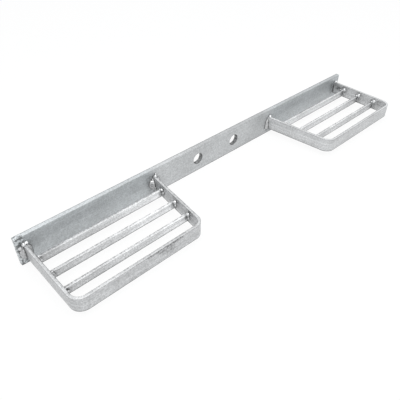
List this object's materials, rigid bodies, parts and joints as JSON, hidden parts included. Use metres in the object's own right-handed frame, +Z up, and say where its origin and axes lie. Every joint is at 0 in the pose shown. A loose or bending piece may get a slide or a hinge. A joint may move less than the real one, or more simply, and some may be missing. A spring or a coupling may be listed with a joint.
{
  "type": "twin rear step",
  "caption": "Galvanised twin rear step: drilled mounting plate with a barred foot step at each end, for a tow bracket.",
  "frame": {"origin": "middle of the two bolt holes, on the mounting plate's back face", "axes": "+X along the plate, +Y out of the plate's back face towards the vehicle, +Z up; the steps stand out towards -Y"},
  "size_m": [0.76, 0.143, 0.05],
  "materials": {
    "plate_zinc": "hot-dip galvanised, dull and finely mottled",
    "strip_zinc": "hot-dip galvanised, bright and finely mottled",
    "bar_zinc": "hot-dip galvanised, bright and finely mottled",
    "bead_zinc": "hot-dip galvanised weld bead, lumpy and bright"
  },
  "bodies": {
    "root": {"mounting_plate": "plate_zinc", "left_step_frame": "strip_zinc", "right_step_frame": "strip_zinc", "left_back_tread_bar": "bar_zinc", "left_middle_tread_bar": "bar_zinc", "left_front_tread_bar": "bar_zinc", "right_back_tread_bar": "bar_zinc", "right_middle_tread_bar": "bar_zinc", "right_front_tread_bar": "bar_zinc", "left_outer_arm_weld": "bead_zinc", "left_inner_arm_weld": "bead_zinc", "right_outer_arm_weld": "bead_zinc", "right_inner_arm_weld": "bead_zinc", "left_back_bar_outer_weld": "bead_zinc", "left_back_bar_inner_weld": "bead_zinc", "left_middle_bar_outer_weld": "bead_zinc", "left_middle_bar_inner_weld": "bead_zinc", "left_front_bar_outer_weld": "bead_zinc", "left_front_bar_inner_weld": "bead_zinc", "right_back_bar_outer_weld": "bead_zinc", "right_back_bar_inner_weld": "bead_zinc", "right_middle_bar_outer_weld": "bead_zinc", "right_middle_bar_inner_weld": "bead_zinc", "right_front_bar_outer_weld": "bead_zinc", "right_front_bar_inner_weld": "bead_zinc"}
  },
  "joints": []
}
